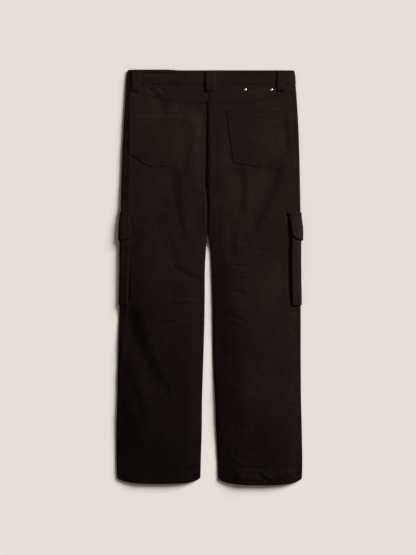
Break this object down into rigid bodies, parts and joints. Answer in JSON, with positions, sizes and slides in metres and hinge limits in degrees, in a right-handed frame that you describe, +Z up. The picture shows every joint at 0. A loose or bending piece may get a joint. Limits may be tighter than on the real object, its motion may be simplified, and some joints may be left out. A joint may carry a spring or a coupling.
{
  "type": "cargo pants",
  "caption": "Men's cargo pants in dark twill, laid flat back side up, with back patch pockets and a flapped bellows pocket on each leg.",
  "frame": {"origin": "middle of the outline, on the surface that the pants lie on", "axes": "+Y along the legs towards the waist, +Z up from the surface, out of the back side"},
  "size_m": [0.488, 1.083, 0.0261],
  "materials": {
    "twill": "near-black brown cotton twill, matt, with tonal topstitching",
    "button": "dark matt four-hole button",
    "stud": "small polished round stud"
  },
  "bodies": {
    "root": {"back_left": "twill", "back_right": "twill", "yoke_left": "twill", "yoke_right": "twill", "front_left": "twill", "front_right": "twill", "back_pocket_left": "twill", "back_pocket_right": "twill", "cargo_pocket_left": "twill", "cargo_pocket_right": "twill", "cargo_gusset_left": "twill", "cargo_gusset_right": "twill", "cargo_flap_left": "twill", "cargo_flap_right": "twill", "waistband_back": "twill", "waistband_front_left": "twill", "waistband_front_right": "twill", "loop_back_left": "twill", "loop_back_centre": "twill", "loop_back_right": "twill", "loop_front_left": "twill", "loop_front_right": "twill", "fly_placket": "twill", "waist_button": "button", "stud_inner": "stud", "stud_outer": "stud"}
  },
  "joints": []
}
